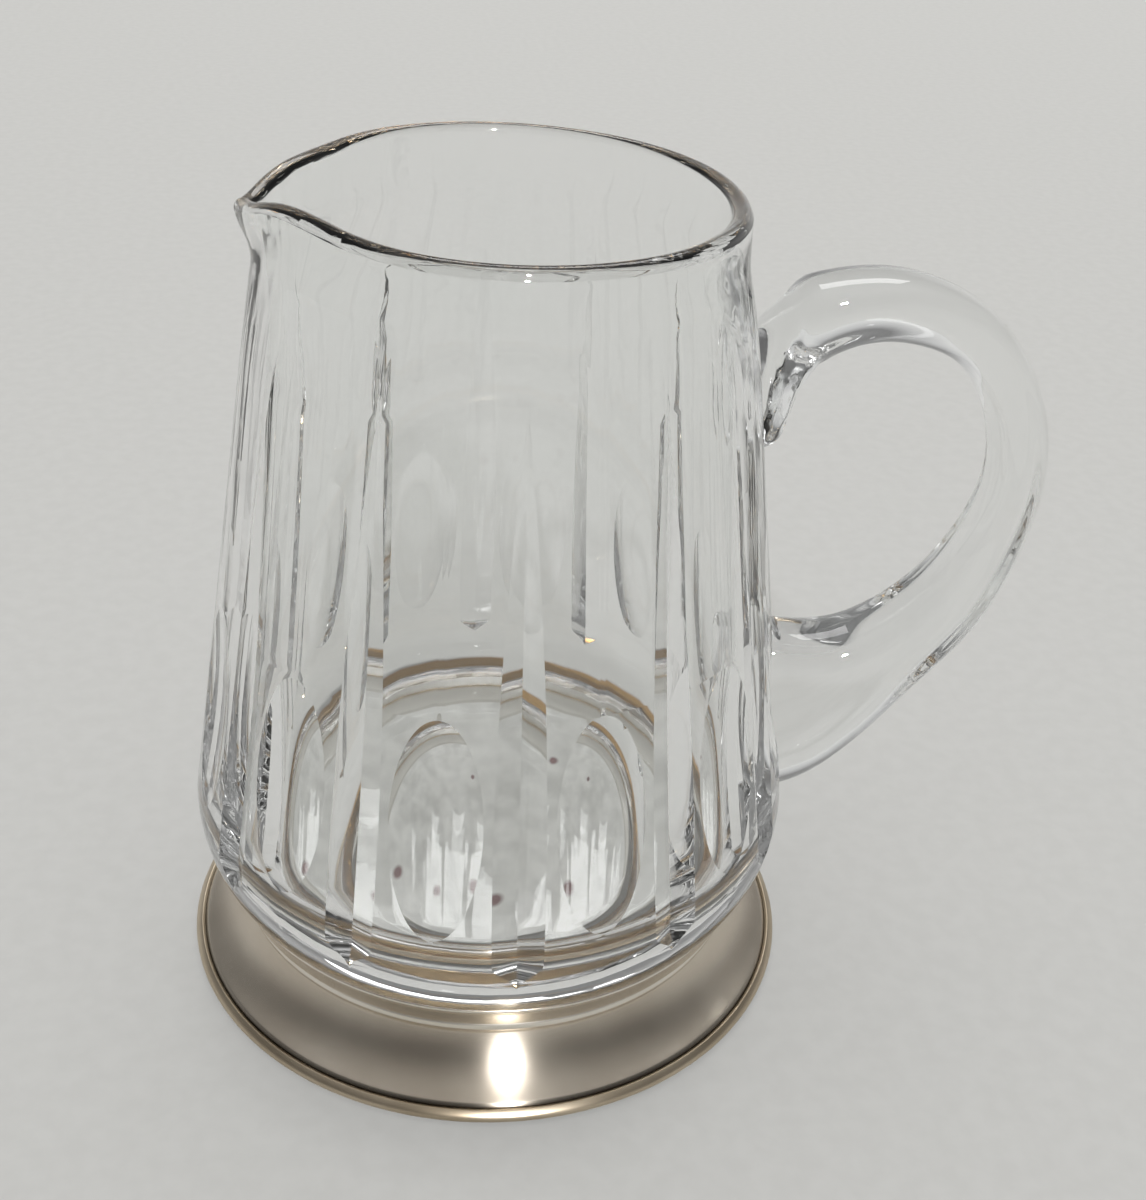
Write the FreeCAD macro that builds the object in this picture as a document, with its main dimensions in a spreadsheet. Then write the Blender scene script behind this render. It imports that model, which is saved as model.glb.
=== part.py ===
"""Cut crystal jug cemented into a low silver foot.

Frame: +Z is up and is the axis of the vessel. The origin is on that axis, on the flat underside
of the foot. The handle stands out along +X and the spout along -X. Lengths are in millimetres.
"""
import FreeCAD, Part
import math
import os
import Sketcher

from FreeCAD import Matrix, Placement, Rotation, Vector

# Driving dimensions of the silver foot, the crystal vessel, its cuts and its handle
SIZES = {
    "seat_radius": 48.5,
    "plate_thickness": 2.0,
    "flange_edge": 1.2,
    "flange_height": 12.6,
    "flange_sheet": 1.0,
    "flange_reach": 10.0,
    "neck_wall": 1.5,
    "cove_sag": 1.5,
    "wire_depth": 2.0,
    "wire_bulge": 1.3,
    "moulding_height": 3.4,
    "moulding_wall": 2.3,
    "moulding_bulge": 0.8,
    "collar_height": 5.0,
    "collar_wall": 3.8,
    "collar_flare": 1.4,
    "bed_thickness": 2.0,
    "heel_rise": 17.5,
    "heel_swell": 5.65,
    "heel_bulge": 1.74,
    "jug_height": 158.5,
    "rim_height": 6.0,
    "rim_radius": 42.5,
    "rim_wall": 3.1,
    "rim_round": 1.1,
    "floor_thickness": 14.4,
    "floor_wall": 7.3,
    "floor_round": 10.0,
    "spout_drop": 22.0,
    "spout_dip": 2.0,
    "spout_reach": 3.1,
    "spout_mouth_radius": 10.5,
    "spout_throat_radius": 8.0,
    "spout_wall": 2.6,
    "flute_lift": 10.5,
    "flute_margin": 16.5,
    "flute_depth": 1.8,
    "olive_lift": 24.5,
    "olive_reach": 21.5,
    "olive_depth": 1.7,
    "olive_wheel_radius": 32.0,
    "handle_lift": 3.5,
    "handle_drop": 20.9,
    "handle_reach": 50.0,
    "handle_thickness": 10.4,
    "handle_width": 14.0,
    "cut_overrun": 3.0,
}

# Counts and angles of the cut pattern
FLUTE_COUNT = 12
FLUTE_HALF_ANGLE = 70.0
FULL_TURN = 360.0

# The wall is drawn in two runs, parted at this share of its height, below the flutes' tips. The
# flutes then divide the lower run into plain strips
WALL_PARTING_SHARE = 0.7

# How far a quarter-round corner bulges from its chord, as a share of its radius
QUARTER_BULGE_SHARE = 1 - math.sqrt(0.5)

# The sketcher's numbers for its own two axes and for the points of an edge
X_AXIS_INDEX = -1
Y_AXIS_INDEX = -2
START_INDEX = 1
END_INDEX = 2
CENTRE_INDEX = 3

# Sections of the handle, from inside its upper pad round to its lower pad. Each gives how far the
# centre stands off the wall, how high it is, and how thick and how wide the section is, as shares
# of the handle's reach, rise, thickness and width
HANDLE_SECTION_SHARES = (
    (-0.08, 0.81, 2.20, 0.64),
    (0.02, 0.84, 2.40, 0.86),
    (0.09, 0.87, 2.45, 1.04),
    (0.16, 0.94, 1.70, 1.14),
    (0.25, 0.98, 1.33, 1.18),
    (0.40, 1.00, 1.21, 1.16),
    (0.57, 1.00, 1.16, 1.13),
    (0.83, 0.94, 1.06, 1.06),
    (0.995, 0.79, 1.00, 1.00),
    (0.995, 0.597, 1.02, 1.00),
    (0.77, 0.368, 1.40, 1.13),
    (0.44, 0.214, 1.90, 1.27),
    (0.19, 0.143, 3.00, 1.38),
    (-0.17, 0.09, 4.00, 1.43),
)

# Which way the handle runs through each section, in degrees above the way straight out
HANDLE_WAYS = (0.0, 0.0, 0.0, 2.0, 9.0, 4.0, -10.0, -40.0, -68.0, -97.5, -121.5, -137.0, -151.0, -158.5)

doc = FreeCAD.newDocument("crystal_jug")
sheet = doc.addObject("Spreadsheet::Sheet", "Sizes")


class Size:
    """A length that knows both its number and the sheet expression that drives it."""

    def __init__(self, value, text):
        self.value = value
        self.text = text

    def __add__(self, other):
        return Size(self.value + other.value, f"({self.text} + {other.text})")

    def __sub__(self, other):
        return Size(self.value - other.value, f"({self.text} - {other.text})")

    def __mul__(self, other):
        if isinstance(other, Size):
            return Size(self.value * other.value, f"({self.text} * {other.text})")
        return Size(self.value * other, f"({self.text} * {other})")

    def __truediv__(self, other):
        if isinstance(other, Size):
            return Size(self.value / other.value, f"({self.text} / {other.text})")
        return Size(self.value / other, f"({self.text} / {other})")

    def __neg__(self):
        return Size(-self.value, f"(-{self.text})")

    def root(self):
        return Size(math.sqrt(self.value), f"sqrt({self.text})")


def fill_sheet():
    """Write the driving dimensions to the sheet and return them by name."""
    for row, (alias, value) in enumerate(SIZES.items(), start=1):
        sheet.set(f"A{row}", alias)
        sheet.set(f"B{row}", str(value))
        sheet.setAlias(f"B{row}", alias)
    doc.recompute()
    return {alias: Size(value, f"Sizes.{alias}") for alias, value in SIZES.items()}


size = fill_sheet()
nothing = Size(0.0, "0")

# Radii that several pieces share, from the crystal's seat outwards
neck_radius = size["seat_radius"] + size["neck_wall"]
seam_radius = neck_radius + size["flange_reach"]
foot_radius = seam_radius + size["wire_depth"]
collar_foot_radius = size["seat_radius"] + size["collar_wall"]
collar_lip_radius = collar_foot_radius + size["collar_flare"]
heel_radius = collar_lip_radius + size["heel_swell"]

# Levels that several pieces share, from the ground up
plate_top = size["plate_thickness"]
seam_height = plate_top + size["flange_edge"]
flange_top = size["flange_height"]
crystal_base = flange_top + size["bed_thickness"]
collar_foot = flange_top + size["moulding_height"]
collar_top = collar_foot + size["collar_height"]
heel_height = collar_top + size["heel_rise"]
rim_foot = size["jug_height"] - size["rim_height"]
rim_shoulder = size["jug_height"] - size["rim_round"]
wall_slope = (heel_radius - size["rim_radius"]) / (rim_foot - heel_height)
wall_parting = heel_height + (rim_foot - heel_height) * WALL_PARTING_SHARE


def wall_radius(height):
    """Outer radius of the plain conical wall at a height."""
    return heel_radius - (height - heel_height) * wall_slope


def new_body(label):
    body = doc.addObject("PartDesign::Body", label)
    body.Label = label
    return body


def origin_feature(body, role):
    return next(item for item in body.Origin.OriginFeatures if item.Role == role)


def new_sketch(body, name, role, offset=None):
    """Empty sketch on one of the body's own origin planes."""
    sketch = body.newObject("Sketcher::SketchObject", name)
    sketch.AttachmentSupport = [(origin_feature(body, role), "")]
    sketch.MapMode = "FlatFace"
    if offset is not None:
        sketch.AttachmentOffset = offset
    return sketch


def drive(sketch, constraint, length):
    """Add a driving constraint whose value follows the sheet."""
    index = sketch.addConstraint(constraint)
    sketch.setExpression(f"Constraints[{index}]", length.text)


def hold_point(sketch, edge, end, point):
    """Fix one end of an edge at a point given by two lengths."""
    across, along = point
    if across is nothing:
        sketch.addConstraint(Sketcher.Constraint("PointOnObject", edge, end, Y_AXIS_INDEX))
    else:
        drive(sketch, Sketcher.Constraint("DistanceX", edge, end, across.value), across)
    if along is nothing:
        sketch.addConstraint(Sketcher.Constraint("PointOnObject", edge, end, X_AXIS_INDEX))
    else:
        drive(sketch, Sketcher.Constraint("DistanceY", edge, end, along.value), along)


def arc_between(start, end, bulge):
    """Arc from start to end. A positive bulge is on the right of the way from start to end."""
    chord = end - start
    right = Vector(chord.y, -chord.x, 0).normalize()
    return Part.Arc(start, start + chord * 0.5 + right * bulge, end)


def arc_radius(start, end, bulge):
    """Radius of the arc between two points, each given by two lengths, that bulges by a length."""
    across = (end[0] - start[0]) / 2
    along = (end[1] - start[1]) / 2
    return (across * across + along * along + bulge * bulge) / (bulge * 2)


def draw_outline(sketch, points, rounds):
    """Closed outline through points. rounds gives the bulge and side of each edge that is an arc."""
    count = len(points)
    places = [Vector(across.value, along.value, 0) for across, along in points]
    ends = []
    for number in range(count):
        start, end = places[number], places[(number + 1) % count]
        if number in rounds:
            bulge, side = rounds[number]
            radius = arc_radius(points[number], points[(number + 1) % count], bulge)
            edge = sketch.addGeometry(arc_between(start, end, bulge.value * side))
            drive(sketch, Sketcher.Constraint("Radius", edge, radius.value), radius)
            to_start = sketch.getPoint(edge, START_INDEX).distanceToPoint(start)
            to_end = sketch.getPoint(edge, END_INDEX).distanceToPoint(start)
            forward = to_start < to_end
            ends.append((edge, START_INDEX, END_INDEX) if forward else (edge, END_INDEX, START_INDEX))
        else:
            edge = sketch.addGeometry(Part.LineSegment(start, end))
            ends.append((edge, START_INDEX, END_INDEX))
    for number in range(count):
        edge, first, last = ends[number]
        following, next_first, _ = ends[(number + 1) % count]
        sketch.addConstraint(Sketcher.Constraint("Coincident", edge, last, following, next_first))
        hold_point(sketch, edge, first, points[number])


def revolve(body, name, points, rounds, kind="PartDesign::Revolution"):
    """Turn a profile, given as radius and height, about the vertical axis."""
    sketch = new_sketch(body, name + "Profile", "XZ_Plane")
    draw_outline(sketch, points, rounds)
    feature = body.newObject(kind, name)
    feature.Profile = sketch
    feature.ReferenceAxis = (sketch, ["V_Axis"])
    feature.Angle = FULL_TURN
    feature.Refine = False
    doc.recompute()


def turned_piece(label, points, rounds):
    """A separate piece of revolution."""
    body = new_body(label)
    revolve(body, label.title().replace("_", ""), points, rounds)
    return body


def check_cut(body, volume_before, name):
    """A cut that points away from the solid removes nothing, so compare the volumes."""
    doc.recompute()
    if body.Shape.Volume >= volume_before:
        raise RuntimeError(f"{name} removed nothing")


def make_base_plate():
    points = [
        (nothing, nothing),
        (seam_radius, nothing),
        (seam_radius, plate_top),
        (nothing, plate_top),
    ]
    return turned_piece("base_plate", points, {})


def make_edge_wire():
    """Half-round wire, flat against the edge of the flange and of the base plate."""
    land = foot_radius - size["wire_bulge"]
    points = [
        (seam_radius, nothing),
        (land, nothing),
        (land, seam_height),
        (seam_radius, seam_height),
    ]
    return turned_piece("edge_wire", points, {1: (size["wire_bulge"], 1)})


def underside_points():
    """Ends of the hollow curve on the underside of the flange sheet, from the edge inwards."""
    return (
        (seam_radius - size["flange_sheet"], plate_top),
        (neck_radius - size["flange_sheet"], flange_top - size["flange_sheet"]),
    )


def make_foot_flange():
    edge_inside, neck_inside = underside_points()
    points = [
        (nothing, neck_inside[1]),
        neck_inside,
        edge_inside,
        (seam_radius, plate_top),
        (seam_radius, seam_height),
        (neck_radius, flange_top),
        (nothing, flange_top),
    ]
    return turned_piece("foot_flange", points, {1: (size["cove_sag"], 1), 4: (size["cove_sag"], -1)})


def make_foot_filling():
    edge_inside, neck_inside = underside_points()
    points = [(nothing, plate_top), edge_inside, neck_inside, (nothing, neck_inside[1])]
    return turned_piece("foot_filling", points, {1: (size["cove_sag"], -1)})


def make_cement_bed():
    points = [
        (nothing, flange_top),
        (size["seat_radius"], flange_top),
        (size["seat_radius"], crystal_base),
        (nothing, crystal_base),
    ]
    return turned_piece("cement_bed", points, {})


def make_collar_moulding():
    moulding_radius = size["seat_radius"] + size["moulding_wall"]
    points = [
        (size["seat_radius"], flange_top),
        (moulding_radius, flange_top),
        (moulding_radius, collar_foot),
        (size["seat_radius"], collar_foot),
    ]
    return turned_piece("collar_moulding", points, {1: (size["moulding_bulge"], 1)})


def make_collar_band():
    points = [
        (size["seat_radius"], collar_foot),
        (collar_foot_radius, collar_foot),
        (collar_lip_radius, collar_top),
        (size["seat_radius"], collar_top),
    ]
    return turned_piece("collar_band", points, {})


def outer_profile():
    """Outside of the plain vessel, before the spout and the cuts."""
    points = [
        (nothing, crystal_base),
        (size["seat_radius"], crystal_base),
        (size["seat_radius"], collar_top),
        (collar_lip_radius, collar_top),
        (heel_radius, heel_height),
        (wall_radius(wall_parting), wall_parting),
        (size["rim_radius"], rim_foot),
        (size["rim_radius"], rim_shoulder),
        (size["rim_radius"] - size["rim_round"], size["jug_height"]),
        (nothing, size["jug_height"]),
    ]
    return points, {3: (size["heel_bulge"], 1), 7: (size["rim_round"] * QUARTER_BULGE_SHARE, 1)}


def cavity_profile():
    """Inside of the vessel, run past the rim by the cutting overrun."""
    mouth_radius = size["rim_radius"] - size["rim_wall"]
    above = size["jug_height"] + size["cut_overrun"]
    floor_height = crystal_base + size["floor_thickness"]
    corner_height = floor_height + size["floor_round"]
    corner_radius = wall_radius(corner_height) - size["floor_wall"]
    points = [
        (nothing, floor_height),
        (corner_radius - size["floor_round"], floor_height),
        (corner_radius, corner_height),
        (mouth_radius, rim_foot),
        (mouth_radius, rim_shoulder),
        (mouth_radius + size["rim_round"], size["jug_height"]),
        (mouth_radius + size["rim_round"], above),
        (nothing, above),
    ]
    floor_bulge = size["floor_round"] * QUARTER_BULGE_SHARE
    rim_bulge = size["rim_round"] * QUARTER_BULGE_SHARE
    return points, {1: (floor_bulge, 1), 4: (rim_bulge, -1)}


def circle_sketch(body, name, reach, radius, height):
    """Circle at a height whose outermost point stands at reach on the spout side."""
    sketch = new_sketch(body, name, "XY_Plane")
    sketch.setExpression("AttachmentOffset.Base.z", height.text)
    middle = radius - reach
    edge = sketch.addGeometry(Part.Circle(Vector(middle.value, 0, 0), Vector(0, 0, 1), radius.value))
    drive(sketch, Sketcher.Constraint("Radius", edge, radius.value), radius)
    sketch.addConstraint(Sketcher.Constraint("PointOnObject", edge, CENTRE_INDEX, X_AXIS_INDEX))
    drive(sketch, Sketcher.Constraint("DistanceX", edge, CENTRE_INDEX, middle.value), middle)
    return sketch


def spout_cone(body, kind, name, wall, top):
    """Tapered half funnel of the spout, drawn in by a wall thickness."""
    throat_height = size["jug_height"] - size["spout_drop"]
    throat_reach = wall_radius(throat_height) - wall
    mouth_reach = size["rim_radius"] + size["spout_reach"] - wall
    throat_radius = size["spout_throat_radius"] - wall
    mouth_radius = size["spout_mouth_radius"] - wall
    throat = circle_sketch(body, name + "Throat", throat_reach, throat_radius, throat_height)
    mouth = circle_sketch(body, name + "Mouth", mouth_reach, mouth_radius, top)
    feature = body.newObject(kind, name)
    feature.Profile = throat
    feature.Sections = [mouth]
    feature.Ruled = True
    feature.Refine = False
    doc.recompute()


def wall_frame(height, azimuth, upright):
    """Frame on the wall with x square to it, and y up the wall if upright, else level."""
    tilt = math.atan(wall_slope.value)
    normal = Vector(math.cos(tilt), 0, math.sin(tilt))
    up = Vector(-math.sin(tilt), 0, math.cos(tilt))
    level = Vector(0, 1, 0)
    if upright:
        turn = Rotation(normal, up, -level, "XYZ")
    else:
        turn = Rotation(normal, level, up, "XYZ")
    place = Placement(Vector(wall_radius(height).value, 0, height.value), turn)
    return Placement(Vector(), Rotation(Vector(0, 0, 1), azimuth)).multiply(place)


def cut_round(body, sketch, name, angle, count, spread):
    """Cut by turning a sketch about its own axis line, then repeat the cut round the vessel."""
    volume_before = body.Shape.Volume
    groove = body.newObject("PartDesign::Groove", name)
    groove.Profile = sketch
    groove.ReferenceAxis = (sketch, ["Axis0"])
    groove.Angle = angle
    groove.Midplane = True
    groove.Refine = False
    check_cut(body, volume_before, name)
    volume_before = body.Shape.Volume
    pattern = body.newObject("PartDesign::PolarPattern", name + "Ring")
    pattern.Originals = [groove]
    pattern.Axis = (origin_feature(body, "Z_Axis"), [""])
    pattern.Angle = spread
    pattern.Occurrences = count
    pattern.Refine = False
    body.Tip = pattern
    check_cut(body, volume_before, name + "Ring")


def cut_flutes(body):
    """Long mitre flutes, each the path of a large wheel with a V edge. The handle stands on one place."""
    pitch = FULL_TURN / FLUTE_COUNT
    height = heel_height + size["flute_lift"]
    sketch = new_sketch(body, "FluteVee", "XY_Plane", wall_frame(height, pitch, False))
    depth = size["flute_depth"]
    reach = rim_foot - height - size["flute_margin"]
    wheel = (reach * reach + depth * depth) / (depth * 2)
    spread = (size["cut_overrun"] + depth) * math.tan(math.radians(FLUTE_HALF_ANGLE))
    points = [(-depth, nothing), (size["cut_overrun"], -spread), (size["cut_overrun"], spread)]
    draw_outline(sketch, points, {})
    hub = wheel - depth
    left = Vector(hub.value, -spread.value, 0)
    right = Vector(hub.value, spread.value, 0)
    axis = sketch.addGeometry(Part.LineSegment(left, right), True)
    hold_point(sketch, axis, START_INDEX, (hub, -spread))
    hold_point(sketch, axis, END_INDEX, (hub, spread))
    sweep = 2 * math.degrees(math.asin(reach.value / wheel.value))
    sweep += 2 * math.degrees(size["cut_overrun"].value / wheel.value)
    cut_round(body, sketch, "Flute", sweep, FLUTE_COUNT - 1, FULL_TURN - 2 * pitch)


def cut_olives(body):
    """Upright oval cuts, one between every two flute places, each the bite of a barrel-shaped wheel."""
    half_pitch = FULL_TURN / FLUTE_COUNT / 2
    height = heel_height + size["olive_lift"]
    sketch = new_sketch(body, "OliveBarrel", "XY_Plane", wall_frame(height, half_pitch, True))
    depth = size["olive_depth"]
    reach = size["olive_reach"]
    barrel = size["olive_wheel_radius"]
    curve = (reach * reach + depth * depth) / (depth * 2)
    half_length = (barrel * curve * 2 - barrel * barrel).root()
    spindle = barrel - depth
    points = [(spindle, half_length), (spindle, -half_length)]
    draw_outline(sketch, points, {0: (barrel, 1)})
    low = Vector(spindle.value, -half_length.value, 0)
    high = Vector(spindle.value, half_length.value, 0)
    axis = sketch.addGeometry(Part.LineSegment(low, high), True)
    hold_point(sketch, axis, START_INDEX, (spindle, -half_length))
    hold_point(sketch, axis, END_INDEX, (spindle, half_length))
    cut_round(body, sketch, "Olive", FULL_TURN / 2, FLUTE_COUNT, FULL_TURN)


def make_crystal_body():
    body = new_body("crystal_body")
    revolve(body, "Vessel", *outer_profile())
    spout_top = size["jug_height"] - size["spout_dip"]
    spout_cone(body, "PartDesign::AdditiveLoft", "SpoutOuter", nothing, spout_top)
    volume_before = body.Shape.Volume
    revolve(body, "Cavity", *cavity_profile(), kind="PartDesign::Groove")
    check_cut(body, volume_before, "Cavity")
    volume_before = body.Shape.Volume
    above = size["jug_height"] + size["cut_overrun"]
    spout_cone(body, "PartDesign::SubtractiveLoft", "SpoutInner", size["spout_wall"], above)
    check_cut(body, volume_before, "SpoutInner")
    cut_flutes(body)
    cut_olives(body)
    return body


def handle_section(shares, way):
    """Oval section of the handle, at its place on the wall and square to the way it runs."""
    stand_off_share, height_share, thickness_share, width_share = shares
    handle_foot = heel_height + size["handle_lift"]
    handle_rise = size["jug_height"] - size["handle_drop"] - handle_foot
    height = handle_foot + handle_rise * height_share
    out = wall_radius(height) + size["handle_reach"] * stand_off_share
    scale = Matrix()
    scale.scale(
        size["handle_thickness"].value * thickness_share / 2,
        size["handle_width"].value * width_share / 2,
        1,
    )
    circle = Part.Circle(Vector(), Vector(0, 0, 1), 1)
    quarter = math.pi / 2
    arcs = [circle.toShape(quarter * step, quarter * (step + 1)) for step in range(4)]
    wire = Part.Wire(arcs).transformGeometry(scale)
    along = Vector(math.cos(math.radians(way)), 0, math.sin(math.radians(way)))
    level = Vector(0, 1, 0)
    turn = Rotation(level.cross(along), level, along, "XYZ")
    wire.Placement = Placement(Vector(out.value, 0, height.value), turn)
    return wire


def make_crystal_handle():
    """Solid loop of crystal, trimmed to the outside of the vessel that it is fused to."""
    sections = [handle_section(*row) for row in zip(HANDLE_SECTION_SHARES, HANDLE_WAYS)]
    gather = doc.addObject("Part::Feature", "HandleGather")
    gather.Shape = Part.makeLoft(sections, True, False)
    vessel = new_body("HandleSeat")
    revolve(vessel, "SeatEnvelope", *outer_profile())
    handle = doc.addObject("Part::Cut", "crystal_handle")
    handle.Label = "crystal_handle"
    handle.Base = gather
    handle.Tool = vessel
    doc.recompute()
    return handle


def main():
    pieces = [
        make_base_plate(),
        make_edge_wire(),
        make_foot_flange(),
        make_foot_filling(),
        make_cement_bed(),
        make_collar_moulding(),
        make_collar_band(),
        make_crystal_body(),
        make_crystal_handle(),
    ]
    doc.recompute()
    for item in doc.Objects:
        if "Invalid" in item.State or "Error" in item.State:
            raise RuntimeError(f"{item.Label} failed: {item.State}")
    for piece in pieces:
        shape = piece.Shape
        if shape.isNull() or not shape.isValid() or len(shape.Solids) != 1:
            raise RuntimeError(f"{piece.Label} is not one valid solid: {len(shape.Solids)}")
    os.makedirs("parts", exist_ok=True)
    for piece in pieces:
        piece.Shape.exportStep(f"parts/{piece.Label}.step")
        print(piece.Label, round(piece.Shape.Volume, 1), piece.Shape.BoundBox)


main()
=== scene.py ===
import math

import bmesh
import bpy
from mathutils import Matrix, Vector, kdtree, noise


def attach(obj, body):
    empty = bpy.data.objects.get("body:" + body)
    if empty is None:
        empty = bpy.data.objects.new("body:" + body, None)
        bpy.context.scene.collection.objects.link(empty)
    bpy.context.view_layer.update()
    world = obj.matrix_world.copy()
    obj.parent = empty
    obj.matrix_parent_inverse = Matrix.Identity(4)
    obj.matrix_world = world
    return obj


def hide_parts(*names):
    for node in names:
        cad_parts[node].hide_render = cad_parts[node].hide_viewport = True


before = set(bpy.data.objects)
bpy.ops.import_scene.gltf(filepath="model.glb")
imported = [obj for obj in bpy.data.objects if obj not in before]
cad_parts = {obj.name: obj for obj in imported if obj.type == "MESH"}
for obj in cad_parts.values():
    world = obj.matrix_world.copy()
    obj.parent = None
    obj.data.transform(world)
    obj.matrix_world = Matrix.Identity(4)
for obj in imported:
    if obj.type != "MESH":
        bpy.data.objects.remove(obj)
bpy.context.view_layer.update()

# Every length below is in millimetres unless it says otherwise. The scene is in metres
MM = 0.001

# Silver mount: levels and radii, from the foot up
FLANGE_FOOT_Z = 2.0
FLANGE_UNDER_Z = 11.6
FLANGE_TOP_Z = 12.6
MOULDING_TOP_Z = 16.0
COLLAR_TOP_Z = 21.0
WIRE_INNER_RADIUS = 60.02
WIRE_ROUND_RADIUS = 60.75
SEAM_RADIUS = 60.0
FLANGE_INNER_RADIUS = 50.0
FLANGE_UNDER_RADII = (49.0, 59.0)
MOULDING_RADIUS = 50.8
COLLAR_BORE_RADIUS = 48.5
COLLAR_LIP_RADIUS = 53.7

# Crystal vessel: levels, radii and walls
CLEARANCE = 0.05
BED_TOP_Z = 14.6
BASE_Z = BED_TOP_Z + CLEARANCE
SEAT_RADIUS = COLLAR_BORE_RADIUS - CLEARANCE
SHOULDER_Z = COLLAR_TOP_Z + CLEARANCE
SHOULDER_RADIUS = COLLAR_LIP_RADIUS
HEEL_Z = 38.5
HEEL_RADIUS = 59.35
HEEL_ARC_RADIUS = 25.16
HEEL_ARC_CENTRE_RADIUS = 34.24
HEEL_ARC_CENTRE_Z = 36.94
WALL_SLOPE = 0.1478
RIM_FOOT_Z = 152.5
TOP_Z = 158.5
RIM_FLARE = 1.45
RIM_FLARE_START_Z = 146.0
RIM_WALL = 3.6
FLOOR_WALL = 7.3
FLOOR_Z = 29.0
FLOOR_ROUND = 10.0

# Spout and drawn rim: how far the rim stands in or out, by degrees from the spout
RIM_DRAW = (
    (0.0, 0.0), (8.0, -0.7), (16.0, -2.1), (26.0, -3.4), (36.0, -3.6), (48.0, -2.5),
    (62.0, -1.1), (78.0, -0.3), (95.0, 0.0), (125.0, -0.3), (155.0, -1.2), (180.0, -1.6),
)
RIM_DRAW_START_Z = 130.0
SPOUT_REACH = 2.6
SPOUT_SPREAD_DEGREES = 7.5
SPOUT_START_Z = 147.0
SPOUT_DIP = 3.2
SPOUT_DIP_DEGREES = 13.0
RIM_TILT = 0.012

# Cuts in the wall: pointed flutes, and upright ovals, called olives, between them
CUT_COUNT = 12
FLUTE_DEPTH = 1.8
FLUTE_HALF_WIDTH = 4.7
FLUTE_MIDDLE_Z = 49.0
FLUTE_REACH = 87.0
FLUTE_TIP_Z = FLUTE_MIDDLE_Z + FLUTE_REACH
FLUTE_FOOT_Z = 31.5
FLUTE_FULL_Z = 37.0
OLIVE_DEPTH = 1.7
OLIVE_HALF_WIDTH = 8.3
OLIVE_MIDDLE_Z = 63.0
OLIVE_HALF_HEIGHT = 21.27
LEAST_COLUMN_WIDTH = 0.5
EVEN_COLUMNS_START_Z = 138.0
EVEN_COLUMNS_FULL_Z = 151.0

# Columns of the vessel's mesh in half of one cut's pitch
FLUTE_COLUMNS = 4
STRIP_COLUMNS = 3
OLIVE_COLUMNS = 8
HALF_COLUMNS = FLUTE_COLUMNS + STRIP_COLUMNS + OLIVE_COLUMNS

# Rings of the vessel's mesh in each run, from the middle of its base to the middle of its floor
BASE_RINGS = 5
SEAT_RINGS = 4
SHOULDER_RINGS = 3
HEEL_RINGS = 9
FLUTE_FOOT_RINGS = 8
STRIP_RINGS = 6
OLIVE_RINGS = 40
FLUTE_RINGS = 28
NECK_RINGS = 22
LIP_RINGS = 18
THROAT_RINGS = 16
INSIDE_RINGS = 20
CORNER_RINGS = 18
FLOOR_RINGS = 6

# Sections of the handle, from inside its upper pad to inside its lower pad: stand-off from the
# wall, height, thickness, width, and the way the handle runs in degrees above straight out
HANDLE_SECTIONS = (
    (-2.2, 120.5, 22.0, 8.5, 8.4),
    (1.0, 122.3, 25.0, 12.0, 6.0),
    (4.5, 125.2, 25.5, 14.6, 2.0),
    (8.0, 131.9, 17.7, 16.0, 2.0),
    (12.5, 135.7, 13.8, 16.5, 9.0),
    (20.0, 137.6, 12.6, 16.2, 4.0),
    (28.5, 137.6, 12.1, 15.8, -10.0),
    (41.5, 131.9, 11.0, 14.8, -40.0),
    (49.75, 117.5, 10.4, 14.0, -68.0),
    (49.75, 99.1, 10.6, 14.0, -97.5),
    (38.5, 77.2, 14.6, 15.8, -121.5),
    (22.0, 62.5, 19.8, 17.8, -137.0),
    (9.5, 55.7, 31.2, 19.3, -151.0),
    (2.0, 52.4, 37.2, 20.0, -165.0),
    (-3.2, 50.9, 37.6, 20.0, -171.6),
)
HANDLE_RING_GAP = 0.7
HANDLE_SIDES = 72
HANDLE_SQUARENESS = 2.8

# Evening of the handle's rings: how often, how much of it in the pads, and at which section numbers
# the upper pad ends and the lower one starts
HANDLE_EVENING_PASSES = 60
PAD_EVENING = 0.12
UPPER_PAD_END = 4.0
LOWER_PAD_START = 12.3

# Pincered band under the upper pad, and the drawn tail below it
CRIMP_DEPTH = 0.35
CRIMP_GRAIN = 0.8
CRIMP_LEVELS = (119.5, 123.0, 128.0, 131.0)
TAIL_DEPTH = 0.12
TAIL_PITCH = 2.6
TAIL_LEVELS = (107.0, 109.0, 117.0, 121.0)
TAIL_WANDER = 0.4
PINCH_REACH = (0.4, 1.6, 11.0, 14.0)
PRESS_FALL = 1.2
PRESS_START = 0.3
PRESS_WAY = (0.8, -0.6)

# Points closer than this are one
SAME_PLACE = 0.002

# Edges that turn by more than these degrees stay sharp
CRYSTAL_SHARP_DEGREES = 24.0
SILVER_SHARP_DEGREES = 30.0

# Turned pieces: sides, steps in a rounded corner, and the least length of an edge in roundings
TURNED_SIDES = 256
ROUNDING_STEPS = 5
ROUNDING_ROOM = 2.1


def smooth(value, low, high):
    """Runs from 0 at low to 1 at high, level at both ends."""
    share = min(max((value - low) / (high - low), 0.0), 1.0)
    return share * share * (3.0 - 2.0 * share)


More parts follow.
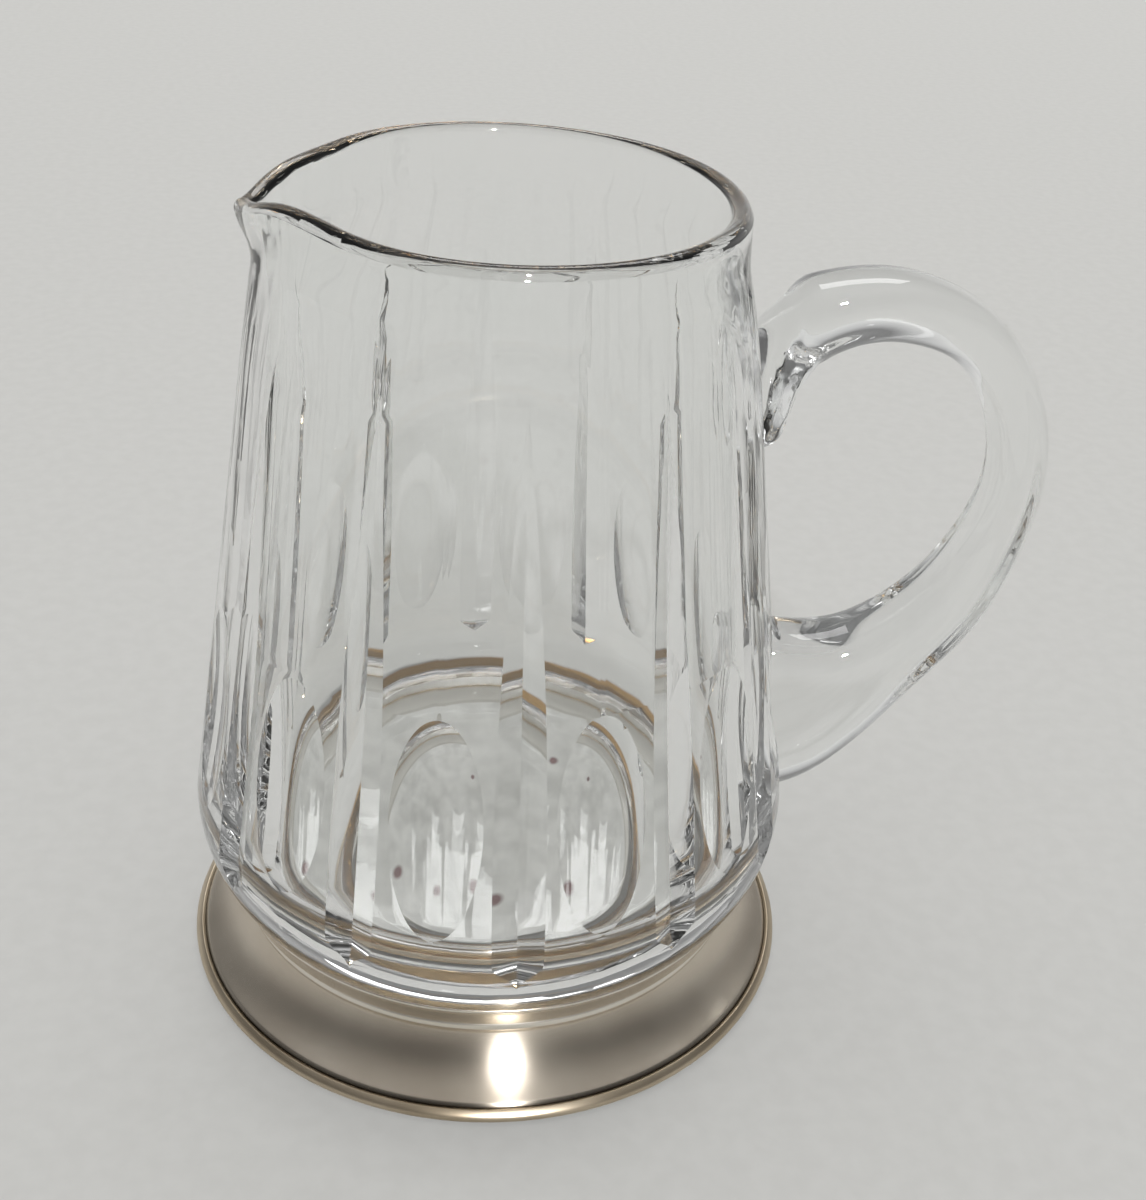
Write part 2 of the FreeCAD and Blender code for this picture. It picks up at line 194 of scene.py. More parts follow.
def curve_through(table, value):
    """Smooth curve through the table's points, level at its first and last point."""
    last = len(table) - 1
    for number in range(last):
        x0, y0 = table[number]
        x1, y1 = table[number + 1]
        if value <= x1 or number == last - 1:
            break
    def slope(index):
        if index == 0 or index == last:
            return 0.0
        before, after = table[index - 1], table[index + 1]
        return (after[1] - before[1]) / (after[0] - before[0])
    span = x1 - x0
    share = min(max((value - x0) / span, 0.0), 1.0)
    square, cube = share * share, share * share * share
    return (
        y0 * (2 * cube - 3 * square + 1)
        + slope(number) * span * (cube - 2 * square + share)
        + y1 * (3 * square - 2 * cube)
        + slope(number + 1) * span * (cube - square)
    )


def cone_radius(z):
    """Straight tapering wall, without cuts."""
    return HEEL_RADIUS - (z - HEEL_Z) * WALL_SLOPE


def outer_radius(z):
    """Outside of the plain vessel: round heel, straight tapering wall, slightly flared rim."""
    if z < HEEL_Z:
        rise = z - HEEL_ARC_CENTRE_Z
        return HEEL_ARC_CENTRE_RADIUS + math.sqrt(HEEL_ARC_RADIUS ** 2 - rise ** 2)
    return cone_radius(z) + RIM_FLARE * smooth(z, RIM_FLARE_START_Z, TOP_Z)


def wall_thickness(z):
    """Thickness of the wall, which grows evenly from the rim down to the floor's corner."""
    share = min(max((RIM_FOOT_Z - z) / (RIM_FOOT_Z - FLOOR_Z - FLOOR_ROUND), 0.0), 1.0)
    return RIM_WALL + (FLOOR_WALL - RIM_WALL) * share


def spout_angle(angle):
    """Degrees from the spout, which points along -X."""
    turn = math.degrees(angle) % 360.0
    return abs(180.0 - turn)


def rim_shift(angle, z):
    """How far the hot-worked rim and spout move the wall out at a level."""
    away = spout_angle(angle)
    drawn = curve_through(RIM_DRAW, away) * smooth(z, RIM_DRAW_START_Z, TOP_Z)
    pulled = SPOUT_REACH * math.exp(-away / SPOUT_SPREAD_DEGREES) * smooth(z, SPOUT_START_Z, TOP_Z)
    return drawn + pulled


def rim_lift(angle, radius, z):
    """How far the rim rises or dips at a level."""
    away = spout_angle(angle)
    dip = -SPOUT_DIP * math.exp(-(away / SPOUT_DIP_DEGREES) ** 2)
    tilt = -RIM_TILT * radius * math.cos(angle)
    return (dip + tilt) * smooth(z, RIM_DRAW_START_Z, TOP_Z)


def flute_share(z):
    """Depth and width of the flutes at a level, as a share of the largest."""
    share = 1.0 - ((z - FLUTE_MIDDLE_Z) / FLUTE_REACH) ** 2
    return max(share, 0.0) * smooth(z, FLUTE_FOOT_Z, FLUTE_FULL_Z)


def olive_share(z):
    """Half-width of the olives, the upright oval cuts, at a level, as a share of the largest."""
    share = 1.0 - ((z - OLIVE_MIDDLE_Z) / OLIVE_HALF_HEIGHT) ** 2
    return math.sqrt(max(share, 0.0))


def half_columns(z):
    """Angles of the mesh's columns from a flute's middle to the next olive's middle, in radians."""
    pitch = math.pi / CUT_COUNT
    radius = outer_radius(z)
    flute = max(FLUTE_HALF_WIDTH * flute_share(z), LEAST_COLUMN_WIDTH) / radius
    olive = pitch - max(OLIVE_HALF_WIDTH * olive_share(z), LEAST_COLUMN_WIDTH) / radius
    cut = [flute * k / FLUTE_COLUMNS for k in range(FLUTE_COLUMNS)]
    cut += [flute + (olive - flute) * k / STRIP_COLUMNS for k in range(STRIP_COLUMNS)]
    cut += [olive + (pitch - olive) * k / OLIVE_COLUMNS for k in range(OLIVE_COLUMNS + 1)]
    even = [pitch * k / HALF_COLUMNS for k in range(HALF_COLUMNS + 1)]
    blend = smooth(z, EVEN_COLUMNS_START_Z, EVEN_COLUMNS_FULL_Z)
    return [a + (b - a) * blend for a, b in zip(cut, even)]


def ring_angles(z):
    """Angle of every column of the mesh at a level, once round."""
    half = half_columns(z)
    pitch = 2.0 * math.pi / CUT_COUNT
    one = half[:-1] + [pitch - value for value in reversed(half[1:])]
    return [pitch * number + value for number in range(CUT_COUNT) for value in one]


def cut_depth(z, column):
    """Depth of the flute or olive at a column of the mesh. No flute is cut behind the handle."""
    pitch = math.pi / CUT_COUNT
    number, place = divmod(column, 2 * HALF_COLUMNS)
    half = half_columns(z)
    across = half[place] if place <= HALF_COLUMNS else half[2 * HALF_COLUMNS - place]
    radius = outer_radius(z)
    share = flute_share(z)
    before_handle = number == CUT_COUNT - 1 and place > HALF_COLUMNS
    after_handle = number == 0 and place <= HALF_COLUMNS
    depth = 0.0
    if share > 0.0 and not before_handle and not after_handle:
        depth = FLUTE_DEPTH * share * max(0.0, 1.0 - across * radius / (FLUTE_HALF_WIDTH * share))
    beside = (pitch - across) * radius / OLIVE_HALF_WIDTH
    above = (z - OLIVE_MIDDLE_Z) / OLIVE_HALF_HEIGHT
    return max(depth, OLIVE_DEPTH * max(0.0, 1.0 - beside ** 2 - above ** 2))


def spread(low, high, count):
    """Evenly spaced values after low, up to and with high."""
    return [low + (high - low) * k / count for k in range(1, count + 1)]


def eased(low, high, count):
    """Values after low, up to and with high, closer together at both ends."""
    return [low + (high - low) * (1 - math.cos(math.pi * k / count)) / 2 for k in range(1, count + 1)]


def vessel_rings():
    """Rings of the vessel's mesh, from the middle of its base round to the middle of its floor.

    Each has the level that sets its columns, and a function that gives radius and height at an
    angle and column."""
    rings = []

    def plain(radius, z):
        rings.append((z, lambda angle, column: (radius, z)))

    for radius in spread(0.0, SEAT_RADIUS, BASE_RINGS):
        plain(radius, BASE_Z)
    for z in spread(BASE_Z, SHOULDER_Z, SEAT_RINGS):
        plain(SEAT_RADIUS, z)
    for radius in spread(SEAT_RADIUS, SHOULDER_RADIUS, SHOULDER_RINGS):
        plain(radius, SHOULDER_Z)

    def outside(z):
        def place(angle, column):
            radius = outer_radius(z) + rim_shift(angle, z)
            if FLUTE_FOOT_Z < z < FLUTE_TIP_Z:
                radius -= cut_depth(z, column)
            return radius, z + rim_lift(angle, radius, z)
        rings.append((z, place))

    lip = RIM_WALL / 2
    levels = spread(SHOULDER_Z, FLUTE_FOOT_Z, HEEL_RINGS)
    levels += spread(FLUTE_FOOT_Z, FLUTE_FULL_Z, FLUTE_FOOT_RINGS)
    olive_foot = OLIVE_MIDDLE_Z - OLIVE_HALF_HEIGHT
    olive_top = OLIVE_MIDDLE_Z + OLIVE_HALF_HEIGHT
    levels += spread(FLUTE_FULL_Z, olive_foot, STRIP_RINGS)
    levels += eased(olive_foot, olive_top, OLIVE_RINGS)
    levels += spread(olive_top, FLUTE_TIP_Z, FLUTE_RINGS)
    levels += spread(FLUTE_TIP_Z, TOP_Z - lip, NECK_RINGS)
    for z in levels:
        outside(z)

    def over_lip(turn):
        def place(angle, column):
            middle = outer_radius(TOP_Z) + rim_shift(angle, TOP_Z) - lip
            z = TOP_Z - lip + lip * math.sin(turn)
            radius = middle + lip * math.cos(turn)
            return radius, z + rim_lift(angle, radius, TOP_Z)
        rings.append((TOP_Z, place))

    for turn in spread(0.0, math.pi, LIP_RINGS)[:-1]:
        over_lip(turn)

    corner_z = FLOOR_Z + FLOOR_ROUND
    corner_radius = cone_radius(corner_z) - FLOOR_WALL

    def inside(z):
        def place(angle, column):
            flare = RIM_FLARE * smooth(z, RIM_FLARE_START_Z, TOP_Z)
            radius = cone_radius(z) + flare - wall_thickness(z) + rim_shift(angle, z)
            return radius, z + rim_lift(angle, radius, z)
        rings.append((TOP_Z, place))

    for z in spread(TOP_Z - lip, RIM_DRAW_START_Z, THROAT_RINGS):
        inside(z)
    for z in spread(RIM_DRAW_START_Z, corner_z, INSIDE_RINGS):
        inside(z)
    for turn in spread(0.0, math.pi / 2, CORNER_RINGS):
        radius = corner_radius - FLOOR_ROUND + FLOOR_ROUND * math.cos(turn)
        z = corner_z - FLOOR_ROUND * math.sin(turn)
        rings.append((TOP_Z, lambda angle, column, radius=radius, z=z: (radius, z)))
    for radius in spread(corner_radius - FLOOR_ROUND, 0.0, FLOOR_RINGS)[:-1]:
        rings.append((TOP_Z, lambda angle, column, radius=radius: (radius, FLOOR_Z)))
    return rings


def mesh_object(name, points, faces, joined=False):
    """Object at the origin from points in millimetres, with points in one place joined if asked."""
    mesh = bpy.data.meshes.new(name)
    mesh.from_pydata([(x * MM, y * MM, z * MM) for x, y, z in points], [], faces)
    mesh.validate()
    solid = bmesh.new()
    solid.from_mesh(mesh)
    if joined:
        bmesh.ops.remove_doubles(solid, verts=solid.verts, dist=SAME_PLACE * MM)
        bare = [edge for edge in solid.edges if not edge.link_faces]
        bmesh.ops.delete(solid, geom=bare, context="EDGES")
    bmesh.ops.recalc_face_normals(solid, faces=solid.faces)
    solid.to_mesh(mesh)
    solid.free()
    piece = bpy.data.objects.new(name, mesh)
    bpy.context.scene.collection.objects.link(piece)
    return piece


def make_vessel():
    """Vessel mesh, and the ends of each edge that a cutting wheel leaves sharp."""
    points = [(0.0, 0.0, BASE_Z)]
    rings = vessel_rings()
    columns = CUT_COUNT * 2 * HALF_COLUMNS
    for level, place in rings:
        for column, angle in enumerate(ring_angles(level)):
            radius, z = place(angle, column)
            points.append((radius * math.cos(angle), radius * math.sin(angle), z))
    points.append((0.0, 0.0, FLOOR_Z))
    faces = []
    last = len(rings) - 1
    for column in range(columns):
        after = (column + 1) % columns
        faces.append((0, 1 + after, 1 + column))
        for ring in range(last):
            low, high = 1 + ring * columns, 1 + (ring + 1) * columns
            faces.append((low + column, low + after, high + after, high + column))
        top = 1 + last * columns
        faces.append((top + column, top + after, len(points) - 1))
    sharp = []
    marks = (0, FLUTE_COLUMNS, 2 * HALF_COLUMNS - FLUTE_COLUMNS)
    olive_marks = (FLUTE_COLUMNS + STRIP_COLUMNS, 2 * HALF_COLUMNS - FLUTE_COLUMNS - STRIP_COLUMNS)
    for ring in range(last):
        level, following = rings[ring][0], rings[ring + 1][0]
        if not FLUTE_FOOT_Z < level < following < EVEN_COLUMNS_START_Z:
            continue
        for number in range(CUT_COUNT):
            chosen = []
            if flute_share(level) > 0.0 and flute_share(following) > 0.0:
                chosen += marks
            if olive_share(level) > 0.0 or olive_share(following) > 0.0:
                chosen += olive_marks
            for mark in chosen:
                column = (number * 2 * HALF_COLUMNS + mark) % columns
                for step in (ring, ring + 1):
                    sharp.append(points[1 + step * columns + column])
    return mesh_object("crystal_vessel", points, faces), sharp


def handle_path():
    """Values of the handle's rings, evenly spaced along it and smoothly between its sections."""
    middles = [Vector((cone_radius(row[1]) + row[0], row[1])) for row in HANDLE_SECTIONS]
    along = [0.0]
    for start, end in zip(middles, middles[1:]):
        along.append(along[-1] + (end - start).length)
    count = round(along[-1] / HANDLE_RING_GAP)
    places = [number * along[-1] / count for number in range(count + 1)]
    sections = range(len(along))
    numbers = [curve_through(list(zip(along, sections)), place) for place in places]
    weights = [PAD_EVENING if n < UPPER_PAD_END or n > LOWER_PAD_START else 1.0 for n in numbers]
    columns = []
    for column in zip(*HANDLE_SECTIONS):
        table = list(zip(along, column))
        values = [curve_through(table, place) for place in places]
        for _ in range(HANDLE_EVENING_PASSES):
            evened = values[:]
            for n in range(1, count):
                middle = (values[n - 1] + values[n + 1]) / 2
                evened[n] += weights[n] * (middle - values[n]) / 2
            values = evened
        columns.append(values)
    return list(zip(*columns))


def band(value, levels):
    """1 between the middle two levels, 0 outside the outer two."""
    return smooth(value, levels[0], levels[1]) * (1.0 - smooth(value, levels[2], levels[3]))


def crimp(x, y, z):
    """How far the tool that closed the handle pressed its tail in."""
    reach = band(x - cone_radius(z), PINCH_REACH)
    grain = noise.noise(Vector((x, y, z)) * CRIMP_GRAIN)
    lines = math.sin(2 * math.pi * (y / TAIL_PITCH + TAIL_WANDER * grain))
    pressed = CRIMP_DEPTH * grain * band(z, CRIMP_LEVELS) + TAIL_DEPTH * lines * band(z, TAIL_LEVELS)
    return pressed * reach


def flattened(value):
    """Takes a coordinate on a circle to one on a flatter-sided loop of the same width."""
    return math.copysign(abs(value) ** (2.0 / HANDLE_SQUARENESS), value)


def make_handle():
    """Solid loop, its ends sunk into the wall's glass, with a pincered tail."""
    points = []
    path = handle_path()
    rings = len(path)
    for stand_off, z, thickness, width, way in path:
        out = cone_radius(z) + stand_off
        angle = math.radians(way)
        up_x, up_z = -math.sin(angle), math.cos(angle)
        for side in range(HANDLE_SIDES):
            turn = 2 * math.pi * side / HANDLE_SIDES
            rise, y = (flattened(value) for value in (math.cos(turn), math.sin(turn)))
            x_place = out + up_x * rise * thickness / 2
            y_place = y * width / 2
            z_place = z + up_z * rise * thickness / 2
            press = crimp(x_place, y_place, z_place) * max(0.0, -rise * PRESS_FALL + PRESS_START)
            x_place += press * PRESS_WAY[0]
            z_place += press * PRESS_WAY[1]
            points.append((x_place, y_place, z_place))
    faces = []
    for ring in range(rings - 1):
        low, high = ring * HANDLE_SIDES, (ring + 1) * HANDLE_SIDES
        for side in range(HANDLE_SIDES):
            after = (side + 1) % HANDLE_SIDES
            faces.append((low + side, low + after, high + after, high + side))
    faces.append(tuple(range(HANDLE_SIDES)))
    faces.append(tuple(range((rings - 1) * HANDLE_SIDES, rings * HANDLE_SIDES)))
    return mesh_object("crystal_loop", points, faces)


def shade(piece, angle, sharp=()):
    """Smooth faces, with edges sharp by angle and along the listed points."""
    mesh = piece.data
    mesh.polygons.foreach_set("use_smooth", [True] * len(mesh.polygons))
    mesh.set_sharp_from_angle(angle=math.radians(angle))
    if sharp:
        listed = kdtree.KDTree(len(sharp))
        for number, point in enumerate(sharp):
            listed.insert(Vector(point) * MM, number)
        listed.balance()
        marked = [listed.find(vertex.co)[2] < SAME_PLACE * MM for vertex in mesh.vertices]
        for edge in mesh.edges:
            if marked[edge.vertices[0]] and marked[edge.vertices[1]]:
                edge.use_edge_sharp = True
    mesh.update()


def make_crystal():
    """Vessel and handle as the one piece of glass that they are."""
    vessel, sharp = make_vessel()
    loop = make_handle()
    fuse = vessel.modifiers.new("fuse", "BOOLEAN")
    fuse.operation = "UNION"
    fuse.solver = "MANIFOLD"
    fuse.object = loop
    seen = vessel.evaluated_get(bpy.context.evaluated_depsgraph_get())
    mesh = bpy.data.meshes.new_from_object(seen)
    vessel.modifiers.clear()
    bpy.data.objects.remove(loop)
    bpy.data.objects.remove(vessel)
    mesh.name = "crystal_jug"
    piece = bpy.data.objects.new("crystal_jug", mesh)
    bpy.context.scene.collection.objects.link(piece)
    shade(piece, CRYSTAL_SHARP_DEGREES, sharp)
    return piece


def lathe(name, outline):
    """Turned piece from a closed outline of radius and height."""
    points, faces = [], []
    count = len(outline)
    for side in range(TURNED_SIDES):
        angle = 2 * math.pi * side / TURNED_SIDES
        for radius, z in outline:
            points.append((radius * math.cos(angle), radius * math.sin(angle), z))
    for side in range(TURNED_SIDES):
        low, high = side * count, (side + 1) % TURNED_SIDES * count
        for step in range(count):
            after = (step + 1) % count
            faces.append((low + step, low + after, high + after, high + step))
    piece = mesh_object(name, points, faces, joined=True)
    shade(piece, SILVER_SHARP_DEGREES)
    return piece


def rounded(corners):
    """Outline with each corner rounded. A corner is (radius, height, rounding)."""
    outline = []
    count = len(corners)
    for number, (radius, z, rounding) in enumerate(corners):
        here = Vector((radius, z))
        before = Vector(corners[number - 1][:2])
        after = Vector(corners[(number + 1) % count][:2])
        if rounding <= 0.0:
            outline.append((radius, z))
            continue
        back, on = before - here, after - here
        start = here + back.normalized() * min(rounding, back.length / ROUNDING_ROOM)
        end = here + on.normalized() * min(rounding, on.length / ROUNDING_ROOM)
        for step in range(ROUNDING_STEPS + 1):
            share = step / ROUNDING_STEPS
            point = start * (1 - share) ** 2 + here * 2 * share * (1 - share) + end * share ** 2
            outline.append((point.x, point.y))
    return outline


def arc_corners(start, end, sag, count):
    """Points between two places on a curve that sags by a length to the right of the way."""
    a, b = Vector(start), Vector(end)
    way = (b - a).normalized()
    right = Vector((way.y, -way.x))
    points = []
    for step in range(1, count):
        share = step / count
        point = a + (b - a) * share + right * sag * 4 * share * (1 - share)
        points.append((point.x, point.y, 0.0))
    return points


# Corners of the silver pieces' outlines are given as radius, height and rounding
def make_collar_band():
    """Band that flares to a lip under the crystal's heel."""
    corners = [
        (COLLAR_BORE_RADIUS, MOULDING_TOP_Z, 0.0),
        (51.9, MOULDING_TOP_Z, 0.3),
        (52.35, 16.45, 0.3),
        (53.25, 19.7, 0.5),
        (COLLAR_LIP_RADIUS, 20.3, 0.4),
        (COLLAR_LIP_RADIUS, COLLAR_TOP_Z, 0.35),
        (52.9, COLLAR_TOP_Z, 0.2),
        (COLLAR_BORE_RADIUS, COLLAR_TOP_Z, 0.0),
    ]
    return lathe("collar", rounded(corners))


def make_collar_moulding():
    """Half-round step under the band."""
    corners = [(COLLAR_BORE_RADIUS, FLANGE_TOP_Z, 0.0), (MOULDING_RADIUS, FLANGE_TOP_Z, 0.2)]
    corners += arc_corners((MOULDING_RADIUS, 12.75), (MOULDING_RADIUS, 15.85), sag=0.8, count=10)
    corners += [(MOULDING_RADIUS, MOULDING_TOP_Z, 0.2), (COLLAR_BORE_RADIUS, MOULDING_TOP_Z, 0.0)]
    return lathe("collar_step", rounded(corners))


def make_foot_flange():
    """Sheet foot: a hollow curve out to the seam, and a disc under the cement."""
    under_inner = (FLANGE_UNDER_RADII[0], FLANGE_UNDER_Z)
    under_outer = (FLANGE_UNDER_RADII[1], FLANGE_FOOT_Z)
    corners = [(*under_inner, 0.0)]
    corners += arc_corners(under_inner, under_outer, sag=1.5, count=12)
    corners += [
        (*under_outer, 0.0),
        (SEAM_RADIUS, FLANGE_FOOT_Z, 0.1),
        (SEAM_RADIUS, 2.75, 0.2),
        (59.5, 3.35, 0.25),
    ]
    corners += arc_corners((59.5, 3.4), (FLANGE_INNER_RADIUS, 12.5), sag=-1.45, count=26)
    corners += [
        (FLANGE_INNER_RADIUS, FLANGE_TOP_Z, 0.1), (0.0, FLANGE_TOP_Z, 0.0), (0.0, FLANGE_UNDER_Z, 0.0),
    ]
    return lathe("foot", rounded(corners))


def make_edge_wire():
    """Wire with a round outer side, beyond the seam."""
    corners = [(WIRE_INNER_RADIUS, 0.0, 0.0), (WIRE_ROUND_RADIUS, 0.0, 0.3)]
    corners += arc_corners((WIRE_ROUND_RADIUS, 0.05), (WIRE_ROUND_RADIUS, 2.95), sag=1.25, count=14)
    corners += [(60.7, 3.0, 0.3), (WIRE_INNER_RADIUS, 2.6, 0.15)]
    return lathe("foot_wire", rounded(corners))


def new_material(name):
    """Material with its nodes, links and main shader."""
    material = bpy.data.materials.new(name)
    material.use_nodes = True
    nodes, links = material.node_tree.nodes, material.node_tree.links
    return material, nodes, links, nodes["Principled BSDF"]


def noise_value(nodes, links, vector, scale, detail):
    """Noise, its scale per metre."""
    pattern = nodes.new("ShaderNodeTexNoise")
    pattern.inputs["Scale"].default_value = scale
    pattern.inputs["Detail"].default_value = detail
    links.new(vector, pattern.inputs["Vector"])
    return pattern.outputs["Fac"]


# Values of a noise at which its two colours are pure
NOISE_LOW = 0.35
NOISE_HIGH = 0.65


def noise_colour(nodes, links, vector, scale, detail, low, high):
    """Two colours mixed by a noise, and the noise."""
    pattern = noise_value(nodes, links, vector, scale, detail)
    ramp = nodes.new("ShaderNodeValToRGB")
    for number, (position, colour) in enumerate(((NOISE_LOW, low), (NOISE_HIGH, high))):
        ramp.color_ramp.elements[number].position = position
        ramp.color_ramp.elements[number].color = (*colour, 1.0)
    links.new(pattern, ramp.inputs["Fac"])
    return ramp.outputs["Color"], pattern


def add_bump(nodes, links, shader, height, strength, distance):
    """Small relief on a shader from a height, its distance in metres."""
    bump = nodes.new("ShaderNodeBump")
    bump.inputs["Strength"].default_value = strength
    bump.inputs["Distance"].default_value = distance
    links.new(height, bump.inputs["Height"])
    links.new(bump.outputs["Normal"], shader.inputs["Normal"])


def add_clear(nodes, links, shader, share, colour):
    """Mix a material's shader with a clear one by a share, as its surface."""
    clear = nodes.new("ShaderNodeBsdfTransparent")
    clear.inputs["Color"].default_value = (*colour, 1.0)
    mix = nodes.new("ShaderNodeMixShader")
    links.new(share, mix.inputs["Fac"])
    links.new(shader.outputs["BSDF"], mix.inputs[1])
    links.new(clear.outputs["BSDF"], mix.inputs[2])
    links.new(mix.outputs["Shader"], nodes["Material Output"].inputs["Surface"])


def object_place(nodes):
    """Place on a piece, in metres from the frame's origin."""
    return nodes.new("ShaderNodeTexCoord").outputs["Object"]


def ranged(nodes, links, value, low, high):
    """Value from 0 to 1 taken to run from low to high."""
    span = nodes.new("ShaderNodeMapRange")
    span.inputs["To Min"].default_value = low
    span.inputs["To Max"].default_value = high
    links.new(value, span.inputs["Value"])
    return span.outputs["Result"]


# Grime in the foot's seam, and old glue between crystal and collar: where they deepen, and colours
SEAM_STAIN_RADII = (59.3, 60.0)
SEAM_COLOUR = (0.06, 0.05, 0.04)
BORE_GLUE_RADII = (49.4, 48.6)
GLUE_COLOUR = (0.40, 0.30, 0.18)

# Top of the collar, under the crystal: dull silver, with a line of glue along the lip
COLLAR_TOP_LEVELS = (20.88, 20.98)
COLLAR_TOP_COLOUR = (0.52, 0.45, 0.35)
LIP_GLUE_RADII = (51.8, 52.6)
LIP_GLUE_COLOUR = (0.26, 0.13, 0.04)

# Thin line of old residue round the inside, on the rounded corner above the floor
RESIDUE_LEVELS = (29.7, 29.95, 30.9, 31.3)
RESIDUE_RADII = (55.0, 53.5)
RESIDUE_COLOUR = (0.32, 0.12, 0.015)

# Crystal: how far it bends light, its roughest smudge, and what one face leaves of the lamps' light
CRYSTAL_IOR = 1.6
CRYSTAL_ROUGHEST = 0.006
GLASS_SHADE = (0.92, 0.92, 0.915)


def nearing(nodes, links, measure, clear, full):
    """Share that runs from 0 to 1 as a measure goes from clear to full, in millimetres."""
    near = nodes.new("ShaderNodeMapRange")
    near.inputs["From Min"].default_value = clear * MM
    near.inputs["From Max"].default_value = full * MM
    links.new(measure, near.inputs["Value"])
    return near.outputs["Result"]


def tinted(nodes, links, colour, share, tint):
    """Colour mixed with a tint by a share."""
    mix = nodes.new("ShaderNodeMix")
    mix.data_type = "RGBA"
    links.new(share, mix.inputs["Factor"])
    links.new(colour, mix.inputs["A"])
    mix.inputs["B"].default_value = (*tint, 1.0)
    return mix.outputs["Result"]


def times(nodes, links, first, *others):
    """Product of shares."""
    for other in others:
        product = nodes.new("ShaderNodeMath")
        product.operation = "MULTIPLY"
        links.new(first, product.inputs[0])
        links.new(other, product.inputs[1])
        first = product.outputs["Value"]
    return first


def height_and_radius(nodes, links, place):
    """Height of a place and its distance from the axis."""
    parts = nodes.new("ShaderNodeSeparateXYZ")
    links.new(place, parts.inputs["Vector"])
    flat = nodes.new("ShaderNodeCombineXYZ")
    links.new(parts.outputs["X"], flat.inputs["X"])
    links.new(parts.outputs["Y"], flat.inputs["Y"])
    radius = nodes.new("ShaderNodeVectorMath")
    radius.operation = "LENGTH"
    links.new(flat.outputs["Vector"], radius.inputs[0])
    return parts.outputs["Z"], radius.outputs["Value"]


def stained(nodes, links, colour, measure, clear, full, stain):
    """Colour that turns to the stain as a measure goes from clear to full, in millimetres."""
    return tinted(nodes, links, colour, nearing(nodes, links, measure, clear, full), stain)


def crystal_material():
    """Clear crystal with a line of residue inside. It lets the lamps' light through to the bed."""
    material, nodes, links, shader = new_material("crystal")
    shader.inputs["Transmission Weight"].default_value = 1.0
    shader.inputs["IOR"].default_value = CRYSTAL_IOR
    place = object_place(nodes)
    colour, _ = noise_colour(
        nodes, links, place, scale=30.0, detail=2.0, low=(0.975, 0.985, 0.98), high=(0.99, 0.995, 0.992)
    )
    height, radius = height_and_radius(nodes, links, place)
    low, low_full, high_full, high = RESIDUE_LEVELS
    shares = (
        nearing(nodes, links, height, low, low_full),
        nearing(nodes, links, height, high, high_full),
        nearing(nodes, links, radius, *RESIDUE_RADII),
    )
    colour = tinted(nodes, links, colour, times(nodes, links, *shares), RESIDUE_COLOUR)
    links.new(colour, shader.inputs["Base Color"])
    smudge = noise_value(nodes, links, place, scale=55.0, detail=3.0)
    links.new(ranged(nodes, links, smudge, low=0.0, high=CRYSTAL_ROUGHEST), shader.inputs["Roughness"])
    ripple = noise_value(nodes, links, place, scale=70.0, detail=1.0)
    add_bump(nodes, links, shader, ripple, strength=0.02, distance=0.0004)
    rays = nodes.new("ShaderNodeLightPath")
    add_clear(nodes, links, shader, rays.outputs["Is Shadow Ray"], GLASS_SHADE)
    return material


# The silver's highlights run across its turned lines
QUARTER_TURN = 0.25


def silver_material(name, low, high, rough_low, rough_high, anisotropy, stain=None, glued=False):
    """Turned silver: fine lines round the axis and tarnish.

    A stain is two radii that it deepens between and its colour. Glued silver has glue on its top."""
    material, nodes, links, shader = new_material(name)
    shader.inputs["Metallic"].default_value = 1.0
    shader.inputs["Anisotropic"].default_value = anisotropy
    shader.inputs["Anisotropic Rotation"].default_value = QUARTER_TURN
    tangent = nodes.new("ShaderNodeTangent")
    tangent.direction_type = "RADIAL"
    tangent.axis = "Z"
    links.new(tangent.outputs["Tangent"], shader.inputs["Tangent"])
    place = object_place(nodes)
    colour, tarnish = noise_colour(nodes, links, place, scale=38.0, detail=4.0, low=low, high=high)
    height, radius = height_and_radius(nodes, links, place)
    if stain is not None:
        colour = stained(nodes, links, colour, radius, *stain)
    if glued:
        under = nearing(nodes, links, height, *COLLAR_TOP_LEVELS)
        colour = tinted(nodes, links, colour, under, COLLAR_TOP_COLOUR)
        lip = times(nodes, links, under, nearing(nodes, links, radius, *LIP_GLUE_RADII))
        colour = tinted(nodes, links, colour, lip, LIP_GLUE_COLOUR)
    links.new(colour, shader.inputs["Base Color"])
    links.new(ranged(nodes, links, tarnish, rough_low, rough_high), shader.inputs["Roughness"])
    section = nodes.new("ShaderNodeCombineXYZ")
    links.new(radius, section.inputs["X"])
    links.new(height, section.inputs["Z"])
    lines = noise_value(nodes, links, section.outputs["Vector"], scale=6000.0, detail=2.0)
    add_bump(nodes, links, shader, lines, strength=0.12, distance=0.00003)
    return material


# Bed under the crystal: specks (across, along, half-width) and its edge, ledge and glue stain
SPECKS = ((-31.0, -18.0, 2.8), (-12.0, -24.0, 2.2), (5.0, -25.0, 3.0), (16.0, 19.0, 1.6))
SPECK_COLOUR = (0.15, 0.06, 0.06)
BED_EDGE_RADII = (41.3, 41.8)
BED_EDGE_COLOUR = (0.52, 0.50, 0.45)
LEDGE_RADII = (42.3, 43.0)
LEDGE_COLOUR = (0.66, 0.64, 0.59)
STAIN_RADII = (47.2, 48.4)


